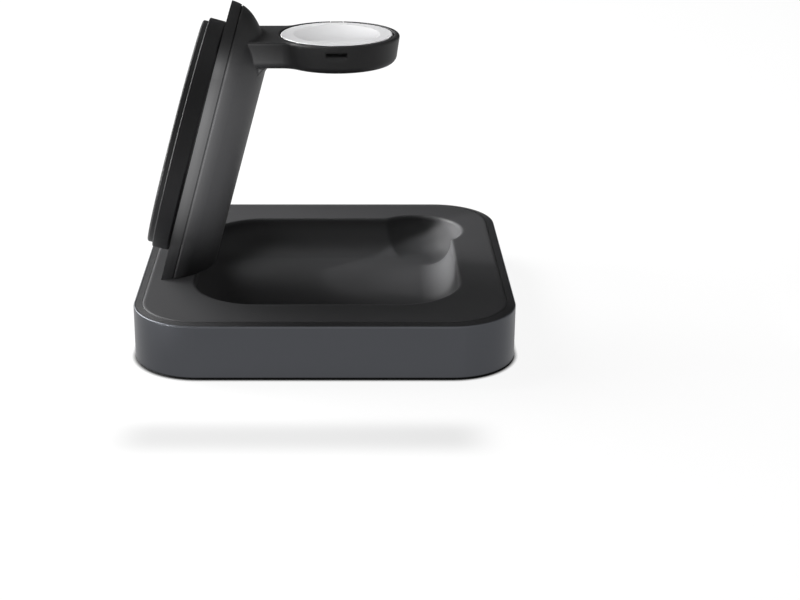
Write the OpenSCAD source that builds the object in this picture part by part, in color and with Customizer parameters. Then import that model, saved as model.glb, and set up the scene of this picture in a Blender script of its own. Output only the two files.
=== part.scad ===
// Three-in-one wireless charging stand: square base with an earbud dish, a leaning post
// that carries a round phone puck, and an arm whose ring holds a tilting watch puck.
// The origin is the middle of the base on the table. The phone side is -X, the arm points to +X.

/* [Base] */
// Length of each side of the square base
base_w = 90.3; // [84:0.1:110]
// Height of the base's top above the table
base_h = 13.5; // [12.5:0.5:18]
// Radius of the base's corners in plan
corner_r = 15.7; // [12:0.1:20]
// Thickness of the aluminium side band
band_t = 1.6; // [1.2:0.1:2.4]
// Radius on the band's outer edges
band_edge_r = 0.4; // [0.2:0.05:0.8]
// Width of the sloping rim round the top
rim_w = 2; // [1.6:0.1:3]
// How far the rim slopes down to its outer edge
rim_drop = 0.3; // [0.1:0.05:0.5]
// Thickness of the moulded top
tray_t = 1.6; // [1.2:0.1:2.2]
// Thickness of the bottom plate
plate_t = 1.8; // [1.6:0.1:2.2]
// Thickness of the steel weight
ballast_t = 1.5; // [0.8:0.1:1.7]
// Height of the feet below the bottom plate
foot_h = 0.3; // [0.2:0.1:1.2]
// Diameter of a foot
foot_d = 9; // [7:0.5:11]

/* [Earbud dish] */
// Length of the dish along the arm's direction
dish_l = 64.1; // [60:0.1:66]
// Width of the dish
dish_w = 62.8; // [58:0.1:66]
// Radius of the dish's corners in plan
dish_corner_r = 15.4; // [12:0.1:20]
// Depth of the dish below the base's top
dish_depth = 8.5; // [6:0.1:8.5]
// Radius of the finger scoop in the dish's corner
scoop_r = 11.7; // [10:0.1:13]
// Thickness of the dish's moulded wall and floor
dish_t = 1.2; // [0.9:0.1:1.4]
// Radius on the dish's rim
rim_edge_r = 0.5; // [0.2:0.1:1]

/* [Post] */
// Angle at which the post leans away from the phone
lean = 15.2; // [10:0.2:20]
// Height of the phone puck's middle above the table
puck_z = 46.95; // [44:0.5:50]
// Distance of the phone puck's middle in from the base's -X edge
puck_in = 8.16; // [6:0.01:12]
// Width of the post
post_w = 31.2; // [30:0.2:36]
// Depth of the post from its flat front to its round back
post_d = 12; // [11:0.1:14]
// Radius of the post's rounded flanks
flank_r = 9; // [8:0.1:10]
// Height of the middle of the post's round top above the puck's middle, along the post
arch_u = 19.2; // [17:0.1:22]
// Thickness of the post's front plate
front_t = 2.5; // [2:0.1:3]
// Wall of the post's shell
shell_t = 1.8; // [1.4:0.1:2.2]
// Width and depth of the dark joint line between plate and shell
groove = 0.3; // [0.2:0.1:0.6]
// Thickness of the steel spine
spine_t = 1.5; // [1:0.1:2]

/* [Phone puck] */
// Diameter of the puck's soft face
face_d = 56.1; // [54:0.1:58]
// Thickness of the soft face
face_t = 1.45; // [1.2:0.05:2]
// Diameter of the collar behind the face
collar_d = 58; // [57:0.1:62]
// Thickness of the collar
collar_t = 4.25; // [4:0.05:6]
// Wall of the collar
collar_wall = 1.2; // [0.8:0.1:1.6]
// Outer diameter of the magnet ring
magnet_d = 54; // [52:0.2:55]
// Number of magnets in the ring
magnet_count = 18; // [12:1:24]

/* [Arm and watch puck] */
// Width of the arm
arm_w = 19.8; // [16:0.2:24]
// Height of the arm's top above the table
arm_top = 71.2; // [69:0.1:73]
// Thickness of the arm
arm_t = 6.85; // [6.3:0.05:8]
// Distance of the ring's middle in front of the base's middle
ring_x = 2.8; // [0:0.1:8]
// Outer diameter of the ring at its top
ring_d = 30.5; // [30:0.1:33]
// How much the sides of arm and ring draw in from top to bottom
side_draft = 0.6; // [0.2:0.1:1.4]
// Radius on the bottom edges of arm and ring
low_edge_r = 2; // [1:0.1:2.4]
// Radius on the top edges of arm and ring
top_edge_r = 0.6; // [0.3:0.1:0.8]
// Radius of the webs between arm and ring
web_r = 4; // [2:0.5:6]
// Diameter of the watch puck's white face
watch_d = 27.2; // [26:0.1:27.4]
// Gap between the watch puck and its ring, on the radius
watch_gap = 0.3; // [0.2:0.05:0.5]
// Diameter of the hollow in the watch puck's face
hollow_d = 21; // [18:0.5:24]
// Depth of the hollow
hollow_depth = 0.9; // [0.5:0.1:1]
// Diameter of the hinge pin
pin_d = 0.7; // [0.5:0.05:0.8]
// Length of the hinge pin
pin_l = 6; // [5:0.5:7]
// Width of the hinge knuckle
knuckle_w = 3; // [2:0.2:4]
// Width of the nail slot
slot_w = 4.9; // [4:0.1:6]
// Height of the nail slot
slot_h = 2.2; // [1.6:0.1:2.6]

/* [Fits and inlet] */
// Gap between seated curved pieces
fit = 0.1; // [0.05:0.01:0.15]
// Gap round the hinge pin
pin_fit = 0.03; // [0.02:0.01:0.06]
// Width of the inlet's steel shell
inlet_w = 8.94; // [8.9:0.01:9]
// Height of the inlet's steel shell
inlet_h = 3.26; // [3.2:0.01:3.3]
// Length of the inlet's steel shell
inlet_l = 7.35; // [6.5:0.05:7.5]
// Diameter of the screws' shanks
screw_d = 1.8; // [1.6:0.1:2]
// Diameter of the screws' heads
screw_head_d = 3.4; // [3:0.1:3.6]
// Thickness of the screws' heads
screw_head_t = 0.9; // [0.7:0.1:1]

/* [Hidden] */
$fn = 96;

half_w = base_w / 2;
straight = base_w - 2 * corner_r;
plate_top = foot_h + plate_t;
ballast_top = plate_top + ballast_t;
dish_floor = base_h - dish_depth;
tray_under = base_h - tray_t;
band_in = corner_r - band_t;
// The band's rebate for the rim, and the lip that stays outside it
lip_t = 0.45;
seat_z = base_h - rim_drop - 1;
ledge_t = 1;
ledge_w = 1.4;

// The dish lies a little towards +X, and its scoop cuts the far corner
dish_x = 0.55;
dish_y = -0.2;
scoop_x = dish_x + dish_l / 2 - 8.5;
scoop_y = dish_y + dish_w / 2 - 8.9;

// Screws stand over the feet
foot_x = half_w - corner_r;
foot_y = half_w - 7;
boss_d = 5.2;
bore_d = screw_d + 0.1;
screw_l = 6;
foot_recess = 0.3;

// Coils under the dish
coil_d = 40;
coil_in_d = 20;
ferrite_t = 0.5;
ferrite_d = coil_d + 3;
window_d = ferrite_d + 1;

// The board lies between the dish and the band's inlet side
board_t = 1;
board_z = ballast_top + 0.6;
board_x0 = dish_x + dish_l / 2 + dish_t + 0.6;
board_x1 = half_w - band_t - 0.5;
board_y0 = -26;
board_y1 = 11;
board_screw_y = [-22.5, 8];
board_screw_x = (board_x0 + board_x1) / 2;
board_screw_l = 3.6;
board_boss_d = 4;
chip_w = 5;
chip_t = 0.9;
chip_y = -15.5;
small_chip_w = 3;
capacitor_d = 4.4;
capacitor_h = 3;
inlet_z = board_z + board_t + inlet_h / 2;
inlet_back = half_w - lip_t - inlet_l;
inlet_wall = 0.3;

// The post's own frame: x is its depth, z runs up the post, and the puck's face is at x = 0
puck_x = puck_in - half_w;
post_front = face_t + collar_t;
plate_back = post_front + front_t;
post_a = post_w / 2;
crown_r = (post_a * post_a - 2 * post_a * flank_r + post_d * post_d) / (2 * (post_d - flank_r));
post_low = -46;
cavity_front = plate_back + groove;
spine_w = 12;
spine_top = 20;
spine_foot_w = 26;
spine_foot_l = 8;
spine_foot_mid = puck_x + plate_back / cos(lean) + (ballast_top - puck_z) * tan(lean) + 2.6;
spine_screw_y = 9.5;
post_screw_y = 9.5;
post_screw_u = 14;
post_boss_d = 5;
post_screw_l = 6.5;
collar_screw_u = 9;
floor_t = 1.5;
passage_w = 23;
passage_h = 20;

// The phone puck's inside
cavity_r = collar_d / 2 - collar_wall;
magnet_w = 4;
magnet_t = 1.8;
phone_coil_d = 43;
phone_coil_in_d = 21;
phone_coil_t = 0.9;
phone_ferrite_t = 0.6;
shield_t = 0.5;

// The arm and its ring
arm_bottom = arm_top - arm_t;
arm_start = puck_x + cavity_front / cos(lean) + (arm_bottom - puck_z) * tan(lean);
ring_r = ring_d / 2;
low_flat = arm_w - 2 * (side_draft + low_edge_r);
watch_r = watch_d / 2;
cup_r = watch_r + watch_gap;
cup_floor = arm_bottom + 1.8;
puck_low = cup_floor + 0.2;
face_low = arm_top - 1.6;
housing_r = watch_r - 0.1;
housing_wall = 0.9;
watch_ferrite_t = 0.5;
watch_coil_t = 1.1;
watch_magnet_d = 9;
channel_w = 4;
channel_h = 2;
root_r = 4;
// How far the concave rounds sink into the faces they meet
bite = 0.04;
knuckle_r = 0.7;
pin_y = ring_r - 0.85;
pin_z = arm_top - knuckle_r;
slot_top = arm_top - 1.6;
knuckle_gap = 0.15;
knuckle_low = face_low - 0.9;

// A profile swept round a rounded rectangle: x is the distance outside the corners' centres
module around(len_x, len_y) {
  for (k = [0:3])
    translate([(k == 0 || k == 3 ? 1 : -1) * len_x / 2, (k < 2 ? 1 : -1) * len_y / 2, 0])
      rotate([0, 0, 90 * k]) rotate_extrude(angle = 90) children();
  for (k = [0:3])
    rotate([0, 0, 90 * k])
      translate([(k % 2 == 0 ? len_x : len_y) / 2, (k % 2 == 0 ? len_y : len_x) / 2, 0])
        rotate([90, 0, 0]) linear_extrude(k % 2 == 0 ? len_y : len_x) children();
}

// A flat plate with round corners
module rounded_plate(len_x, len_y, r, z0, z1) {
  translate([0, 0, z0]) linear_extrude(z1 - z0) {
    square([len_x + 2 * r, len_y], center = true);
    square([len_x, len_y + 2 * r], center = true);
    for (sx = [-1, 1], sy = [-1, 1]) translate([sx * len_x / 2, sy * len_y / 2]) circle(r);
  }
}

// A hollow's wall: a flat floor that turns up in a quarter circle, and a small round at the rim
module bowl_profile(reach, low, turn, top, edge) {
  translate([0, low]) square([reach - turn, top - low + 1]);
  translate([0, low + turn]) square([reach, top - low - turn + 1]);
  intersection() {
    translate([reach - turn, low + turn]) circle(turn);
    translate([reach - turn, low]) square([turn, turn]);
  }
  if (edge > 0) difference() {
    translate([reach, top - edge]) square([edge, edge + 1]);
    translate([reach + edge, top - edge]) circle(edge);
  }
}

// The dish and its scoop, grown by t for the outside of the moulded wall
module dish_form(t, edge) {
  turn = dish_depth - rim_edge_r + t;
  len_x = dish_l - 2 * dish_corner_r;
  len_y = dish_w - 2 * dish_corner_r;
  core_r = dish_corner_r + t - turn;
  low = dish_floor - t;
  top = t > 0 ? tray_under : base_h;
  intersection() {
    union() {
      translate([dish_x, dish_y, 0]) {
        around(len_x, len_y) bowl_profile(dish_corner_r + t, low, turn, base_h, edge);
        rounded_plate(len_x, len_y, core_r / 2, low, base_h + 1);
      }
      translate([scoop_x, scoop_y, 0])
        rotate_extrude() bowl_profile(scoop_r + t, low, turn, base_h, edge);
    }
    translate([-half_w, -half_w, 0]) cube([base_w, base_w, top + (t > 0 ? 0 : 1)]);
  }
}

// Places over the four feet
module at_feet() {
  for (sx = [-1, 1], sy = [-1, 1]) translate([sx * foot_x, sy * foot_y, 0]) children();
}

// A pan-head screw with its head down at z = 0
module screw(length) {
  cylinder(d = screw_head_d, h = screw_head_t);
  translate([0, 0, screw_head_t]) cylinder(d = screw_d, h = length);
}

// The post's frame
module leaned() {
  translate([puck_x, 0, puck_z]) rotate([0, lean, 0]) children();
}

// Turns a shape that stands on z so that it points into the post
module along_depth() {
  rotate([0, 90, 0]) children();
}

// Half of the post's section: flank and crown arcs that meet smoothly; x is half-width, y is depth
module half_section(inset) {
  reach = 2 * crown_r;
  cx = post_a - flank_r;
  dx = cx / (crown_r - flank_r);
  dy = (crown_r - post_d) / (crown_r - flank_r);
  intersection() {
    translate([0, post_d - crown_r]) circle(crown_r - inset);
    polygon([[0, 0], [cx, 0], [cx + reach * dx, reach * dy], [0, reach]]);
  }
  intersection() {
    translate([cx, 0]) circle(flank_r - inset);
    polygon([[cx, 0], [cx + reach, 0], [cx + reach, reach * dy], [cx + reach * dx, reach * dy]]);
  }
}

// The post's outside between two depths, drawn in the post's frame
module post_form(inset, from_x, to_x) {
  intersection() {
    translate([post_front, 0, 0]) {
      translate([0, 0, post_low]) linear_extrude(arch_u - post_low) {
        rotate(-90) half_section(inset);
        mirror([0, 1]) rotate(-90) half_section(inset);
      }
      translate([0, 0, arch_u]) along_depth() rotate([0, 0, 90])
        rotate_extrude(angle = 180) half_section(inset);
    }
    translate([from_x, -post_w, post_low]) cube([to_x - from_x, 2 * post_w, 3 * post_w]);
  }
}

// Everything above a level
module above(z) {
  translate([-base_w, -base_w, z]) cube([2 * base_w, 2 * base_w, 2 * base_w]);
}

// An upright slab whose outline is a slot with round ends, for the inlet
module inlet_form(grow, x0, x1) {
  r = inlet_h / 2 + grow;
  translate([x0, 0, inlet_z]) rotate([90, 0, 90]) linear_extrude(x1 - x0) {
    square([inlet_w - inlet_h, 2 * r], center = true);
    for (s = [-1, 1]) translate([s * (inlet_w - inlet_h) / 2, 0]) circle(r);
  }
}

module base_band() {
  color("#4a4b50") difference() {
    around(straight, straight) difference() {
      union() {
        translate([band_in, foot_h + band_edge_r])
          square([band_t, base_h - rim_drop - foot_h - 2 * band_edge_r]);
        translate([band_in, foot_h])
          square([band_t - band_edge_r, base_h - rim_drop - foot_h]);
        for (z = [foot_h + band_edge_r, base_h - rim_drop - band_edge_r])
          translate([corner_r - band_edge_r, z]) circle(band_edge_r);
        translate([band_in - ledge_w, plate_top]) square([ledge_w, ledge_t]);
      }
      translate([band_in - 1, seat_z]) square([band_t - lip_t + 1, 2]);
    }
    inlet_form(fit, half_w - 2 * corner_r / 3, half_w + 1);
  }
}

module trim_ring() {
  out = corner_r - lip_t - fit / 2;
  inside = corner_r - rim_w;
  color("#222224") around(straight, straight) polygon([
    [inside - ledge_w, tray_under - ledge_t], [band_in - fit / 2, tray_under - ledge_t],
    [band_in - fit / 2, seat_z], [out, seat_z], [out, base_h - rim_drop],
    [inside, base_h], [inside, tray_under], [inside - ledge_w, tray_under]
  ]);
}

module top_tray() {
  r = corner_r - rim_w - fit;
  color("#303032") difference() {
    union() {
      rounded_plate(straight, straight, r, tray_under, base_h);
      dish_form(dish_t, 0);
      at_feet() translate([0, 0, plate_top]) cylinder(d = boss_d, h = tray_under - plate_top);
      for (y = board_screw_y) translate([board_screw_x, y, board_z + board_t])
        cylinder(d = board_boss_d, h = tray_under - board_z - board_t);
    }
    dish_form(0, rim_edge_r);
    at_feet() translate([0, 0, plate_top - 1]) cylinder(d = bore_d, h = screw_l + 1.4);
    for (y = board_screw_y) translate([board_screw_x, y, board_z])
      cylinder(d = bore_d, h = board_screw_l + 1.4);
    leaned() translate([plate_back - 0.6, -passage_w / 2, post_low])
      cube([spine_t + 1.8, passage_w, passage_h]);
  }
}

module bottom_plate() {
  r = band_in - fit;
  color("#1d1d1f") difference() {
    rounded_plate(straight, straight, r, foot_h, plate_top);
    at_feet() {
      translate([0, 0, 0]) cylinder(d = foot_d + 2 * fit, h = foot_h + foot_recess);
      cylinder(d = screw_head_d + 2 * fit, h = foot_h + foot_recess + screw_head_t);
      cylinder(d = bore_d, h = plate_top + 1);
    }
  }
}

module rubber_feet() {
  color("#141415") at_feet() cylinder(d = foot_d, h = foot_h + foot_recess);
}

module base_screws() {
  color("silver") at_feet() translate([0, 0, foot_h + foot_recess]) screw(screw_l);
}

module ballast_plate() {
  edge = 2.5;
  r = band_in - ledge_w - edge / 2;
  color("#8a8c8f") difference() {
    rounded_plate(straight, straight, r, plate_top, ballast_top);
    translate([dish_x, dish_y, 0]) cylinder(d = window_d, h = ballast_top + 1);
    at_feet() cylinder(d = boss_d + 2 * fit, h = ballast_top + 1);
    translate([board_x0 - 1, board_y0 - 1, 0])
      cube([corner_r, board_y1 - board_y0 + 2, ballast_top + 1]);
    for (s = [-1, 1]) translate([spine_foot_mid, s * spine_screw_y, 0])
      cylinder(d = screw_d, h = ballast_top + 1);
    dish_form(dish_t + fit, 0);
  }
}

module earbud_ferrite() {
  color("#3a3a3c") translate([dish_x, dish_y, plate_top])
    cylinder(d = ferrite_d, h = ferrite_t);
}

module earbud_coil() {
  color("#b06a3a") translate([dish_x, dish_y, plate_top + ferrite_t]) difference() {
    cylinder(d = coil_d, h = dish_floor - dish_t - plate_top - ferrite_t);
    translate([0, 0, -1]) cylinder(d = coil_in_d, h = 4);
  }
}

module main_board() {
  color("#1f5c3a") difference() {
    translate([board_x0, board_y0, board_z])
      cube([board_x1 - board_x0, board_y1 - board_y0, board_t]);
    for (y = board_screw_y) translate([board_screw_x, y, board_z - 1])
      cylinder(d = bore_d, h = board_t + 2);
  }
}

module board_chips() {
  z = board_z + board_t;
  color("#2a2a2a") {
    translate([board_screw_x - chip_w / 2, chip_y, z]) cube([chip_w, chip_w, chip_t]);
    translate([board_screw_x - small_chip_w / 2, chip_y - small_chip_w - 0.8, z])
      cube([small_chip_w, small_chip_w, chip_t]);
    translate([board_screw_x, chip_y + chip_w + 0.5 + capacitor_d / 2, z])
      cylinder(d = capacitor_d, h = capacitor_h);
  }
}

module board_screws() {
  color("silver") for (y = board_screw_y)
    translate([board_screw_x, y, board_z - screw_head_t]) screw(board_screw_l);
}

module inlet_shell() {
  color("#b9bbbe") difference() {
    inlet_form(0, inlet_back, inlet_back + inlet_l);
    inlet_form(-inlet_wall, inlet_back + 0.8, inlet_back + inlet_l + 1);
  }
}

module inlet_tongue() {
  color("#101011") translate([inlet_back + 0.8, -3.35, inlet_z - 0.35])
    cube([inlet_l - 1.7, 6.7, 0.7]);
}

module post_shell() {
  inner_back = post_front + post_d;
  color("#2b2b2d") difference() {
    union() {
      leaned() {
        post_form(0, cavity_front, inner_back + 1);
        post_form(groove, plate_back, cavity_front);
      }
      intersection() {
        arm_and_ring();
        leaned() translate([cavity_front, -post_w, -post_w]) cube(4 * post_w);
      }
    }
    intersection() {
      leaned() difference() {
        post_form(shell_t, plate_back - 1, inner_back);
        for (sy = [-1, 1], su = [-1, 1])
          translate([plate_back, sy * post_screw_y, su * post_screw_u])
            along_depth() cylinder(d = post_boss_d, h = post_d);
      }
      above(base_h + floor_t);
    }
    mirror([0, 0, 1]) translate([0, 0, -base_h]) above(0);
    leaned() {
      for (sy = [-1, 1], su = [-1, 1])
        translate([plate_back - 1, sy * post_screw_y, su * post_screw_u])
          along_depth() cylinder(d = bore_d, h = post_screw_l);
      translate([plate_back - 1, -passage_w / 2, post_low])
        cube([spine_t + 2.2, passage_w, passage_h]);
    }
    translate([ring_x, 0, cup_floor]) cylinder(r = cup_r, h = arm_t);
    translate([arm_start + 1.5, -channel_w / 2, cup_floor])
      cube([ring_x - arm_start - 8, channel_w, channel_h]);
    hinge_cuts();
    nail_slot();
  }
}

// Half of the arm's section, which the ring is turned from too: drafted side and round edges
module side_profile(reach) {
  low_reach = reach - side_draft;
  translate([0, arm_bottom]) square([low_reach - low_edge_r, low_edge_r]);
  polygon([[0, arm_bottom + low_edge_r], [low_reach, arm_bottom + low_edge_r],
    [reach, arm_top - top_edge_r], [0, arm_top - top_edge_r]]);
  translate([0, arm_top - 2 * top_edge_r]) square([reach - top_edge_r, 2 * top_edge_r]);
  translate([low_reach - low_edge_r, arm_bottom + low_edge_r]) circle(low_edge_r);
  translate([reach - top_edge_r, arm_top - top_edge_r]) circle(top_edge_r);
}

// The concave web between the arm's side and the ring, turned about an axis beside them
module ring_web() {
  reach = ring_r + web_r - bite;
  mid_y = arm_w / 2 + web_r - bite;
  mid_x = ring_x - sqrt(reach * reach - mid_y * mid_y);
  body = 2 * low_edge_r;
  difference() {
    translate([0, 0, arm_bottom]) linear_extrude(arm_t)
      polygon([[mid_x, 0], [ring_x, 0], [mid_x, mid_y]]);
    translate([mid_x, mid_y, 0]) rotate_extrude() difference() {
      translate([0, arm_bottom - 1]) square([web_r + body, arm_t + 2]);
      translate([web_r + body + 1, 0]) mirror([1, 0]) side_profile(body + 1);
    }
  }
}

// The arm and the outside of its ring, as one form
module arm_and_ring() {
  translate([arm_start, 0, 0]) rotate([90, 0, 90]) linear_extrude(ring_x - arm_start) {
    side_profile(arm_w / 2);
    mirror([1, 0]) side_profile(arm_w / 2);
  }
  translate([ring_x, 0, 0]) rotate_extrude() side_profile(ring_r);
  ring_web();
  mirror([0, 1, 0]) ring_web();
  root_fillet();
}

// The concave round under the arm's root, turned about the axis of the post's round back
module root_fillet() {
  axis_x = post_front + post_d - crown_r;
  mid_r = crown_r + root_r - bite;
  line_u = (arm_bottom - puck_z + (axis_x + mid_r) * sin(lean)) / cos(lean);
  mid_u = line_u - (root_r - bite) / cos(lean);
  intersection() {
    leaned() translate([axis_x, 0, 0]) rotate_extrude() difference() {
      polygon([[crown_r - 2, mid_u], [mid_r, mid_u],
        [mid_r - root_r * sin(lean), mid_u + root_r * cos(lean)],
        [mid_r - root_r * sin(lean) - 0.3, mid_u + root_r * cos(lean) + 1],
        [crown_r - 2, mid_u + root_r * cos(lean) + 1]]);
      translate([mid_r, mid_u]) circle(root_r);
    }
    translate([-post_w, -low_flat / 2, 0]) cube([post_w, low_flat, arm_bottom + 1]);
  }
}

// Room for the knuckle in the ring's wall, and the pin's bore
module hinge_cuts() {
  w = knuckle_w / 2 + knuckle_gap;
  translate([ring_x - w, cup_r - 1, knuckle_low - 3 * knuckle_gap])
    cube([2 * w, ring_r - cup_r + 2, arm_t]);
  translate([ring_x - pin_l / 2, pin_y, pin_z]) rotate([0, 90, 0])
    cylinder(d = pin_d + 2 * pin_fit, h = pin_l);
}

// The nail slot in the ring's near wall: open at the top, a ramp below
module nail_slot() {
  open_h = slot_h / 3;
  translate([ring_x - slot_w / 2, -ring_r - 1, slot_top - open_h])
    cube([slot_w, ring_r - cup_r + 2.5, open_h]);
  translate([ring_x, -ring_r, slot_top - open_h]) rotate([90, 0, 90])
    linear_extrude(slot_w, center = true)
      polygon([[-1, 0.01], [0.95, 0.01], [0.3, open_h - slot_h], [-1, open_h - slot_h]]);
}

module post_front_plate() {
  color("#29292b") difference() {
    intersection() {
      leaned() post_form(0, post_front, plate_back);
      above(base_h);
    }
    leaned() {
      for (sy = [-1, 1], su = [-1, 1])
        translate([post_front - 1, sy * post_screw_y, su * post_screw_u]) along_depth() {
          cylinder(d = screw_head_d + 2 * fit, h = 1 + screw_head_t);
          cylinder(d = bore_d, h = front_t + 2);
        }
      for (su = [-1, 1]) translate([post_front - 1, 0, su * collar_screw_u])
        along_depth() cylinder(d = bore_d, h = front_t + 2);
    }
  }
}

module post_spine() {
  color("#9a9c9f") difference() {
    union() {
      intersection() {
        leaned() translate([plate_back, -spine_w / 2, post_low])
          cube([spine_t, spine_w, spine_top - post_low]);
        above(ballast_top);
      }
      translate([spine_foot_mid + 3.4 - spine_foot_l, -spine_foot_w / 2, ballast_top])
        cube([spine_foot_l, spine_foot_w, spine_t]);
    }
    for (s = [-1, 1]) translate([spine_foot_mid, s * spine_screw_y, ballast_top - 1])
      cylinder(d = bore_d, h = spine_t + 2);
    leaned() for (su = [-1, 1]) translate([plate_back - 1, 0, su * collar_screw_u])
      along_depth() cylinder(d = bore_d, h = spine_t + 2);
  }
}

module spine_screws() {
  color("silver") for (s = [-1, 1]) translate([spine_foot_mid, s * spine_screw_y, 0])
    translate([0, 0, ballast_top + spine_t + screw_head_t]) mirror([0, 0, 1])
      screw(spine_t + ballast_t);
}

module post_screws() {
  color("silver") leaned() for (sy = [-1, 1], su = [-1, 1])
    translate([post_front, sy * post_screw_y, su * post_screw_u])
      along_depth() screw(post_screw_l);
}

module puck_collar() {
  edge = 0.3;
  back_edge = 0.6;
  color("#262628") leaned() translate([face_t, 0, 0]) difference() {
    along_depth() rotate_extrude() difference() {
      union() {
        square([collar_d / 2 - back_edge, collar_t]);
        square([collar_d / 2 - edge, collar_t - back_edge]);
        translate([0, edge]) square([collar_d / 2, collar_t - back_edge - edge]);
        translate([collar_d / 2 - edge, edge]) circle(edge);
        translate([collar_d / 2 - back_edge, collar_t - back_edge]) circle(back_edge);
      }
      translate([0, -1]) square([cavity_r, collar_t - collar_wall + 1]);
    }
    for (su = [-1, 1]) translate([0, 0, su * collar_screw_u])
      along_depth() cylinder(d = bore_d, h = collar_t + 1);
  }
}

module puck_face() {
  edge = 0.5;
  color("#232325") leaned() along_depth() rotate_extrude() {
    square([face_d / 2 - edge, face_t]);
    translate([0, edge]) square([face_d / 2, face_t - edge]);
    intersection() {
      translate([face_d / 2 - edge, edge]) circle(edge);
      square([face_d / 2, face_t]);
    }
  }
}

module phone_coil() {
  color("#b06a3a") leaned() translate([face_t, 0, 0]) along_depth() difference() {
    cylinder(d = phone_coil_d, h = phone_coil_t);
    translate([0, 0, -1]) cylinder(d = phone_coil_in_d, h = 3);
  }
}

module phone_ferrite() {
  color("#3a3a3c") leaned() translate([face_t + phone_coil_t, 0, 0])
    along_depth() cylinder(d = phone_coil_d, h = phone_ferrite_t);
}

module phone_shield() {
  shield_x = face_t + phone_coil_t + phone_ferrite_t;
  color("#a9abad") leaned() translate([shield_x, 0, 0])
    along_depth() cylinder(d = phone_coil_d, h = shield_t);
}

module phone_magnets() {
  step = 360 / magnet_count;
  color("#c2c4c8") leaned() translate([face_t, 0, 0]) along_depth()
    for (k = [0 : magnet_count - 1]) rotate([0, 0, (k + 0.5) * step])
      rotate_extrude(angle = step - 1.5) translate([magnet_d / 2 - magnet_w, 0])
        square([magnet_w, magnet_t]);
}

module collar_screws() {
  color("silver") leaned() for (su = [-1, 1])
    translate([post_front - collar_wall - screw_head_t, 0, su * collar_screw_u])
      along_depth() screw(collar_wall + front_t + spine_t);
}

module watch_housing() {
  w = knuckle_w / 2;
  color("#1c1c1e") difference() {
    union() {
      translate([ring_x, 0, puck_low]) difference() {
        cylinder(r = housing_r, h = face_low - puck_low);
        translate([0, 0, housing_wall])
          cylinder(r = housing_r - housing_wall, h = face_low - puck_low);
      }
      translate([ring_x - w, pin_y, pin_z]) rotate([0, 90, 0])
        cylinder(r = knuckle_r, h = knuckle_w);
      translate([ring_x - w, pin_y - knuckle_r, knuckle_low])
        cube([knuckle_w, 2 * knuckle_r, pin_z - knuckle_low]);
      translate([ring_x - w, housing_r - housing_wall, knuckle_low])
        cube([knuckle_w, pin_y - housing_r + housing_wall, face_low - knuckle_low]);
    }
    translate([ring_x - w - 1, pin_y, pin_z]) rotate([0, 90, 0])
      cylinder(d = pin_d + 2 * pin_fit, h = knuckle_w + 2);
    translate([ring_x - slot_w / 2, -housing_r - 1, slot_top - slot_h / 3])
      cube([slot_w, 1.5, slot_h]);
  }
}

module watch_face() {
  edge = 0.3;
  bowl = (hollow_d * hollow_d / 4 + hollow_depth * hollow_depth) / (2 * hollow_depth);
  color("#f0f0f0") translate([ring_x, 0, face_low]) difference() {
    rotate_extrude() {
      square([watch_r - edge, arm_top - face_low]);
      square([watch_r, arm_top - face_low - edge]);
      translate([watch_r - edge, arm_top - face_low - edge]) circle(edge);
    }
    translate([0, 0, arm_top - face_low - hollow_depth + bowl]) sphere(bowl, $fn = 256);
  }
}

module watch_ferrite() {
  color("#3a3a3c") translate([ring_x, 0, puck_low + housing_wall])
    cylinder(r = housing_r - housing_wall - fit, h = watch_ferrite_t);
}

module watch_coil() {
  color("#b06a3a") translate([ring_x, 0, puck_low + housing_wall + watch_ferrite_t])
    difference() {
      cylinder(r = housing_r - housing_wall - 1, h = watch_coil_t);
      translate([0, 0, -1]) cylinder(d = watch_magnet_d + 1.5, h = watch_coil_t + 2);
    }
}

module watch_magnet() {
  z = puck_low + housing_wall + watch_ferrite_t;
  color("#c2c4c8") translate([ring_x, 0, z]) cylinder(d = watch_magnet_d, h = face_low - z);
}

module hinge_pin() {
  color("#c9cbce") translate([ring_x - pin_l / 2, pin_y, pin_z]) rotate([0, 90, 0])
    cylinder(d = pin_d, h = pin_l);
}

base_band();
trim_ring();
top_tray();
bottom_plate();
rubber_feet();
base_screws();
ballast_plate();
earbud_ferrite();
earbud_coil();
main_board();
board_chips();
board_screws();
inlet_shell();
inlet_tongue();
post_shell();
post_front_plate();
post_spine();
spine_screws();
post_screws();
puck_collar();
puck_face();
phone_coil();
phone_ferrite();
phone_shield();
phone_magnets();
collar_screws();
watch_housing();
watch_face();
watch_coil();
watch_ferrite();
watch_magnet();
hinge_pin();
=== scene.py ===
# Three-in-one wireless charging stand: a square base with an earbud dish, a leaning post with
# a round phone puck, and an arm whose ring holds a tilting watch puck.
import math

import bpy
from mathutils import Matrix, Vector

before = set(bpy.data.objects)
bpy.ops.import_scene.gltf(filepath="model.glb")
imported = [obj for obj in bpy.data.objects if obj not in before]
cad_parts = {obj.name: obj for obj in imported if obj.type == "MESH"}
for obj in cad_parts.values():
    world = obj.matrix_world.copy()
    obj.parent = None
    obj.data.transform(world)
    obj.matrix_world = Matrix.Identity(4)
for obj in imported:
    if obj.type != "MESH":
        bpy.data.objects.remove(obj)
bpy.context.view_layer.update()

# Camera: a long lens about 40 cm in front of the stand and 15 cm up, looking down at just under
# 20 degrees. The stand sits left of the middle and high in the frame, so the view is shifted.
CAMERA_PLACE = (0.00418, -0.3832, 0.1527)
CAMERA_TILT = 70.32  # degrees up from straight down
FRAME_WIDTH_PX = 800
FRAME_HEIGHT_PX = 600
FOCAL_PX = 1606.4
AXIS_PX = (342.38, 250)
SENSOR_MM = 36
camera_data = bpy.data.cameras.new("camera")
camera_data.sensor_width = SENSOR_MM
camera_data.lens = FOCAL_PX / FRAME_WIDTH_PX * SENSOR_MM
camera_data.shift_x = (FRAME_WIDTH_PX / 2 - AXIS_PX[0]) / FRAME_WIDTH_PX
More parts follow.
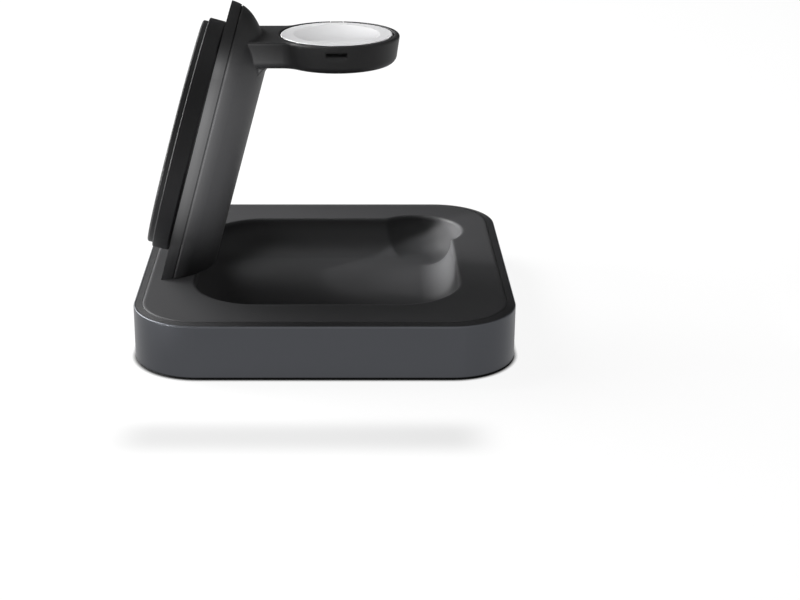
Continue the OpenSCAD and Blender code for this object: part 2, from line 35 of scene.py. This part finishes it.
camera_data.shift_y = (AXIS_PX[1] - FRAME_HEIGHT_PX / 2) / FRAME_WIDTH_PX
camera_data.clip_start = 0.01
camera = bpy.data.objects.new("camera", camera_data)
camera.location = CAMERA_PLACE
camera.rotation_euler = (math.radians(CAMERA_TILT), 0, 0)
bpy.context.scene.collection.objects.link(camera)
bpy.context.scene.camera = camera
bpy.context.scene.view_settings.view_transform = "Standard"

# Floor: a wide white sweep under the stand. To the camera and in reflections most of its white is
# its own, so that the stand's soft shadow stays faint, as on an overexposed sweep. That white
# fades only close to the feet and the band, a painted contact shadow: a thin dark line of shade.
FLOOR_HALF = 3.0
FLOOR_OWN_WHITE = 0.92
CONTACT_SHADE_REACH = 0.0012


def sheet(name, corners):
    """A flat sheet with four corners and a paint of its own, and that paint's node tree."""
    mesh = bpy.data.meshes.new(name)
    mesh.from_pydata(corners, [], [(0, 1, 2, 3)])
    piece = bpy.data.objects.new(name, mesh)
    bpy.context.scene.collection.objects.link(piece)
    paint = bpy.data.materials.new(name + "_paint")
    paint.use_nodes = True
    mesh.materials.append(paint)
    return piece, paint.node_tree


floor, floor_tree = sheet("floor", [
    (-FLOOR_HALF, -FLOOR_HALF, 0), (FLOOR_HALF, -FLOOR_HALF, 0),
    (FLOOR_HALF, FLOOR_HALF, 0), (-FLOOR_HALF, FLOOR_HALF, 0)])
floor_shader = floor_tree.nodes["Principled BSDF"]
floor_shader.inputs["Base Color"].default_value = (0.93, 0.93, 0.93, 1)
floor_shader.inputs["Roughness"].default_value = 0.9
floor_shader.inputs["Specular IOR Level"].default_value = 0.1
floor_white = floor_tree.nodes.new("ShaderNodeEmission")
floor_mix = floor_tree.nodes.new("ShaderNodeMixShader")


def maths(tree, operation, *inputs):
    """One Math node with numbers or sockets as inputs, and its output socket."""
    node = tree.nodes.new("ShaderNodeMath")
    node.operation = operation
    for k, value in enumerate(inputs):
        if isinstance(value, (int, float)):
            node.inputs[k].default_value = value
        else:
            tree.links.new(value, node.inputs[k])
    return node.outputs[0]


def seen_by_eye(tree, share):
    """The share for camera, glossy and transmission rays, and 0 for light."""
    ray = tree.nodes.new("ShaderNodeLightPath").outputs
    mirrored = maths(tree, "MAXIMUM", ray["Is Glossy Ray"], ray["Is Transmission Ray"])
    return maths(tree, "MULTIPLY", maths(tree, "MAXIMUM", ray["Is Camera Ray"], mirrored), share)


floor_tree.links.new(seen_by_eye(floor_tree, FLOOR_OWN_WHITE), floor_mix.inputs["Fac"])
floor_tree.links.new(floor_shader.outputs[0], floor_mix.inputs[1])
floor_tree.links.new(floor_white.outputs[0], floor_mix.inputs[2])
floor_tree.links.new(floor_mix.outputs[0], floor_tree.nodes["Material Output"].inputs["Surface"])
contact = floor_tree.nodes.new("ShaderNodeAmbientOcclusion")
contact.inputs["Distance"].default_value = CONTACT_SHADE_REACH
# Painted contact shade: 1 in the open, and 0 where half or more of the space above the floor is
# hidden
clear = maths(floor_tree, "MAXIMUM", 0,
              maths(floor_tree, "MULTIPLY_ADD", contact.outputs["AO"], 2, -1))

# Floor strip: a painted shadow, the faint soft grey strip on the sweep in front of the stand, a
# little shorter than the base is wide. It only dims the floor's own white.
STRIP_Y, STRIP_HALF_DEPTH = -0.0745, 0.012
STRIP_X, STRIP_HALF_LENGTH, STRIP_END = -0.0045, 0.030, 0.016
SHADOW_STRIP_GREY = 0.22
floor_spot = floor_tree.nodes.new("ShaderNodeSeparateXYZ")
floor_tree.links.new(floor_tree.nodes.new("ShaderNodeNewGeometry").outputs["Position"],
                     floor_spot.inputs[0])


def fade(distance, full, width):
    """1 up to the full distance, then a smooth fall to 0 over the width."""
    ramp = floor_tree.nodes.new("ShaderNodeMapRange")
    ramp.interpolation_type = "SMOOTHERSTEP"
    ramp.inputs["From Min"].default_value = full
    ramp.inputs["From Max"].default_value = full + width
    ramp.inputs["To Min"].default_value = 1
    ramp.inputs["To Max"].default_value = 0
    floor_tree.links.new(maths(floor_tree, "ABSOLUTE", distance), ramp.inputs["Value"])
    return ramp.outputs["Result"]


across = fade(maths(floor_tree, "SUBTRACT", floor_spot.outputs["Y"], STRIP_Y), 0, STRIP_HALF_DEPTH)
along = fade(maths(floor_tree, "SUBTRACT", floor_spot.outputs["X"], STRIP_X),
             STRIP_HALF_LENGTH, STRIP_END)
# Painted shadow: the strip's grey dims the floor's own white in front of the stand
shadow_strip = maths(floor_tree, "MULTIPLY", maths(floor_tree, "MULTIPLY", across, along), -SHADOW_STRIP_GREY)
# The floor's own white, dimmed by the painted shadow strip and by the painted contact shade
floor_tree.links.new(maths(floor_tree, "MULTIPLY", maths(floor_tree, "ADD", shadow_strip, 1), clear),
                     floor_white.inputs["Strength"])

# Room: white to the camera and to reflections, nearly dark as a light. A black flag stands far
# behind the stand, above the picture, so that flat tops don't mirror the white room.
ROOM_LIGHT = 0.03
world = bpy.data.worlds.new("studio")
bpy.context.scene.world = world
world.use_nodes = True
sky = world.node_tree
sky.nodes.clear()
sky_out = sky.nodes.new("ShaderNodeOutputWorld")
sky_mix = sky.nodes.new("ShaderNodeMixShader")
sky_seen = sky.nodes.new("ShaderNodeBackground")
sky_seen.inputs["Color"].default_value = (1, 1, 1, 1)
sky_light = sky.nodes.new("ShaderNodeBackground")
sky_light.inputs["Color"].default_value = (0.96, 0.98, 1, 1)
sky_light.inputs["Strength"].default_value = ROOM_LIGHT
sky.links.new(seen_by_eye(sky, 1), sky_mix.inputs["Fac"])
sky.links.new(sky_light.outputs[0], sky_mix.inputs[1])
sky.links.new(sky_seen.outputs[0], sky_mix.inputs[2])
sky.links.new(sky_mix.outputs[0], sky_out.inputs["Surface"])
FLAG_Y = 0.95
FLAG_HALF = 1.3
FLAG_LOW, FLAG_HIGH = 0.06, 1.6
flag, flag_tree = sheet("flag", [
    (-FLAG_HALF, FLAG_Y, FLAG_LOW), (FLAG_HALF, FLAG_Y, FLAG_LOW),
    (FLAG_HALF, FLAG_Y, FLAG_HIGH), (-FLAG_HALF, FLAG_Y, FLAG_HIGH)])
flag.visible_camera = False
flag_tree.nodes["Principled BSDF"].inputs["Base Color"].default_value = (0.02, 0.02, 0.02, 1)

# Studio light: a high key and a lower box behind the stand's left, a low one that rakes over the
# top from the left, and a weak fill in front. Three narrow spots make soft pools of light on the
# post's flank, the dish's right wall and the finger scoop. Some lamps are kept off some pieces.
STAND_MIDDLE = (0, 0, 0.03)
POST_FLANK = (-0.0225, -0.017, 0.045)
DISH_RIGHT = (0.026, 0.010, 0.009)
SCOOP = (0.027, 0.029, 0.009)


def place_lamp(name, lamp, place, aim, watts):
    """A lamp at a place, turned towards the point that it lights."""
    lamp.energy = watts
    holder = bpy.data.objects.new(name, lamp)
    holder.location = place
    holder.rotation_euler = (Vector(aim) - Vector(place)).to_track_quat("-Z", "Y").to_euler()
    bpy.context.scene.collection.objects.link(holder)
    return holder


def soft_box(name, place, width, height, watts):
    """A rectangular soft box that lights the whole stand."""
    lamp = bpy.data.lights.new(name, "AREA")
    lamp.shape = "RECTANGLE"
    lamp.size = width
    lamp.size_y = height
    return place_lamp(name, lamp, place, STAND_MIDDLE, watts)


def soft_spot(name, place, aim, degrees, watts, radius):
    """A narrow spot whose light fades out from the middle of its pool."""
    lamp = bpy.data.lights.new(name, "SPOT")
    lamp.spot_size = math.radians(degrees)
    lamp.spot_blend = 1
    lamp.shadow_soft_size = radius
    return place_lamp(name, lamp, place, aim, watts)


soft_box("key_box", (-0.464, 0.268, 0.48), 0.35, 0.35, 7.8)
soft_box("dish_box", (-0.459, 0.459, 0.292), 0.35, 0.35, 1.6)
rake_box = soft_box("rake_box", (-0.686, 0.096, 0.127), 0.45, 0.25, 15.5)
soft_box("front_box", (0, -0.564, 0.235), 0.4, 0.4, 0.46)
post_spot = soft_spot("post_spot", (0.048, -0.710, 0.106), POST_FLANK, 4.8, 130, 0.005)
dish_spot = soft_spot("dish_spot", (-0.638, 0.230, 0.132), DISH_RIGHT, 4.0, 95, 0.02)
soft_spot("scoop_spot", (-0.498, -0.410, 0.154), SCOOP, 2.2, 190, 0.02)


def link_light(lamp, state, *names):
    """Keeps a lamp to the named pieces with INCLUDE, or away from them with EXCLUDE."""
    pieces = bpy.data.collections.new(lamp.name + "_pieces")
    for name in names:
        pieces.objects.link(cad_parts[name])
    lamp.light_linking.receiver_collection = pieces
    for link in pieces.collection_objects:
        link.light_linking.link_state = state


link_light(rake_box, "EXCLUDE", "base_band", "trim_ring")
link_light(dish_spot, "EXCLUDE", "base_band", "trim_ring")
link_light(post_spot, "INCLUDE", "post_shell", "post_front_plate")

# Shared grain: a fine blasted or spark-eroded texture, a slight unevenness in the gloss, faint
# cloudiness in the colour, and edges softened in shading over the Round radius. Every finish
# uses it.
GLOSS_SPREAD = 0.12
CLOUD_SIZE = 60
GRAIN_HEIGHT = 0.0001
grain = bpy.data.node_groups.new("shared_grain", "ShaderNodeTree")


def group_socket(name, kind, way, value=None):
    """One named socket on the grain group."""
    socket = grain.interface.new_socket(name=name, in_out=way, socket_type=kind)
    if value is not None:
        socket.default_value = value


group_socket("Colour", "NodeSocketColor", "INPUT", (0.03, 0.03, 0.03, 1))
group_socket("Cloud", "NodeSocketFloat", "INPUT", 0.06)
group_socket("Roughness", "NodeSocketFloat", "INPUT", 0.5)
group_socket("Grain Size", "NodeSocketFloat", "INPUT", 4000.0)
group_socket("Depth", "NodeSocketFloat", "INPUT", 0.1)
group_socket("Round", "NodeSocketFloat", "INPUT", 0.0)
group_socket("Colour", "NodeSocketColor", "OUTPUT")
group_socket("Roughness", "NodeSocketFloat", "OUTPUT")
group_socket("Normal", "NodeSocketVector", "OUTPUT")
given = grain.nodes.new("NodeGroupInput").outputs
result = grain.nodes.new("NodeGroupOutput").inputs
where = grain.nodes.new("ShaderNodeTexCoord")
fine = grain.nodes.new("ShaderNodeTexNoise")
fine.inputs["Detail"].default_value = 3
grain.links.new(where.outputs["Object"], fine.inputs["Vector"])
grain.links.new(given["Grain Size"], fine.inputs["Scale"])
cloud = grain.nodes.new("ShaderNodeTexNoise")
cloud.inputs["Scale"].default_value = CLOUD_SIZE
cloud.inputs["Detail"].default_value = 4
grain.links.new(where.outputs["Object"], cloud.inputs["Vector"])
spread = maths(grain, "SUBTRACT", cloud.outputs["Fac"], 0.5)
tint = grain.nodes.new("ShaderNodeVectorMath")
tint.operation = "SCALE"
grain.links.new(given["Colour"], tint.inputs[0])
grain.links.new(maths(grain, "MULTIPLY_ADD", spread, given["Cloud"], 1), tint.inputs["Scale"])
grain.links.new(tint.outputs[0], result["Colour"])
grain.links.new(maths(grain, "MULTIPLY_ADD", spread, GLOSS_SPREAD, given["Roughness"]),
                result["Roughness"])
rounded = grain.nodes.new("ShaderNodeBevel")
rounded.samples = 8
grain.links.new(given["Round"], rounded.inputs["Radius"])
dimple = grain.nodes.new("ShaderNodeBump")
dimple.inputs["Distance"].default_value = GRAIN_HEIGHT
grain.links.new(fine.outputs["Fac"], dimple.inputs["Height"])
grain.links.new(given["Depth"], dimple.inputs["Strength"])
grain.links.new(rounded.outputs["Normal"], dimple.inputs["Normal"])
grain.links.new(dimple.outputs["Normal"], result["Normal"])


def finish(name, colour, roughness, size, depth, cloud=0.1, specular=0.5, metallic=0.0, coat=0.0,
           soft=0.0):
    """A plastic, rubber or metal with the shared grain at its own size and depth."""
    material = bpy.data.materials.new(name)
    material.use_nodes = True
    tree = material.node_tree
    shader = tree.nodes["Principled BSDF"]
    shader.inputs["Specular IOR Level"].default_value = specular
    shader.inputs["Metallic"].default_value = metallic
    shader.inputs["Coat Weight"].default_value = coat
    shader.inputs["Coat Roughness"].default_value = 0.3
    node = tree.nodes.new("ShaderNodeGroup")
    node.node_tree = grain
    node.inputs["Colour"].default_value = (*colour, 1)
    node.inputs["Cloud"].default_value = cloud
    node.inputs["Roughness"].default_value = roughness
    node.inputs["Grain Size"].default_value = size
    node.inputs["Depth"].default_value = depth
    node.inputs["Round"].default_value = soft
    tree.links.new(node.outputs["Colour"], shader.inputs["Base Color"])
    tree.links.new(node.outputs["Roughness"], shader.inputs["Roughness"])
    tree.links.new(node.outputs["Normal"], shader.inputs["Normal"])
    return material


def dress(material, *nodes):
    """Puts one finish on CAD nodes."""
    for name in nodes:
        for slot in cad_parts[name].material_slots:
            slot.material = material


# Base band: an aluminium extrusion bent to a rounded square, blasted and anodised dark grey,
# with a small round on its outer edges.
dress(finish("anodised_aluminium", (0.0675, 0.070, 0.077), 0.42, 9000, 0.06, cloud=0.05,
             metallic=1.0), "base_band")

# Trim ring: a narrow sloping frame in dark plastic that covers the band's inner edge and holds
# the soft top. It is moulded and drops into the band's rebate.
dress(finish("rim_plastic", (0.011, 0.011, 0.012), 0.45, 5000, 0.08, specular=0.3), "trim_ring")

# Top tray: the soft-touch top with the earbud dish and its finger scoop, moulded in one piece
# and painted with a matt rubbery coat.
dress(finish("soft_touch_coat", (0.022, 0.022, 0.023), 0.55, 3500, 0.10, cloud=0.08,
             specular=0.15, soft=0.0012), "top_tray")

# Underside: a textured plastic plate, held by four screws that the rubber feet cover.
dress(finish("under_plastic", (0.014, 0.014, 0.015), 0.6, 2500, 0.25), "bottom_plate")
dress(finish("foot_rubber", (0.012, 0.012, 0.012), 0.8, 3000, 0.15), "rubber_feet")

# Post: a moulded rear shell, with the arm and the watch ring in one with it, closed in front by
# a flat plate whose plastic is painted slightly darker as painted shade. Both are smooth and matt.
post_plastic = finish("post_plastic", (0.0095, 0.0095, 0.0100), 0.52, 5000, 0.06, specular=0.22,
                      soft=0.0008)
dress(post_plastic, "post_shell")
# The plate's darker colour is painted shade
dress(finish("plate_plastic", (0.0060, 0.0060, 0.0064), 0.55, 5000, 0.06, specular=0.2),
      "post_front_plate")

# Phone puck: a matt plastic collar that holds coil and magnets, and a silky silicone face.
dress(finish("collar_plastic", (0.005, 0.005, 0.0055), 0.5, 5000, 0.06, specular=0.14),
      "puck_collar")
dress(finish("silicone", (0.006, 0.006, 0.0065), 0.55, 6000, 0.05, specular=0.2), "puck_face")

# Watch puck: a glossy white face over a black housing that tilts on a steel pin.
dress(finish("white_gloss", (0.82, 0.82, 0.83), 0.18, 800, 0.01, cloud=0.01, coat=0.3),
      "watch_face")
dress(post_plastic, "watch_housing")

# Inner parts: plain steel, enamelled copper, ferrite and board, all behind closed covers except
# the inlet's steel shell and its tongue.
dress(finish("steel", (0.55, 0.55, 0.56), 0.32, 2500, 0.08, metallic=1.0), "base_screws",
      "ballast_plate", "board_screws", "inlet_shell", "post_spine", "spine_screws", "post_screws",
      "phone_shield", "phone_magnets", "collar_screws", "watch_magnet", "hinge_pin")
dress(finish("enamelled_copper", (0.62, 0.30, 0.14), 0.3, 2500, 0.08, metallic=1.0),
      "earbud_coil", "phone_coil", "watch_coil")
dress(finish("ferrite", (0.045, 0.045, 0.047), 0.6, 2500, 0.2),
      "earbud_ferrite", "phone_ferrite", "watch_ferrite")
dress(finish("board_mask", (0.02, 0.11, 0.055), 0.35, 1500, 0.08), "main_board")
dress(finish("chip_plastic", (0.02, 0.02, 0.02), 0.5, 4000, 0.1), "board_chips", "inlet_tongue")
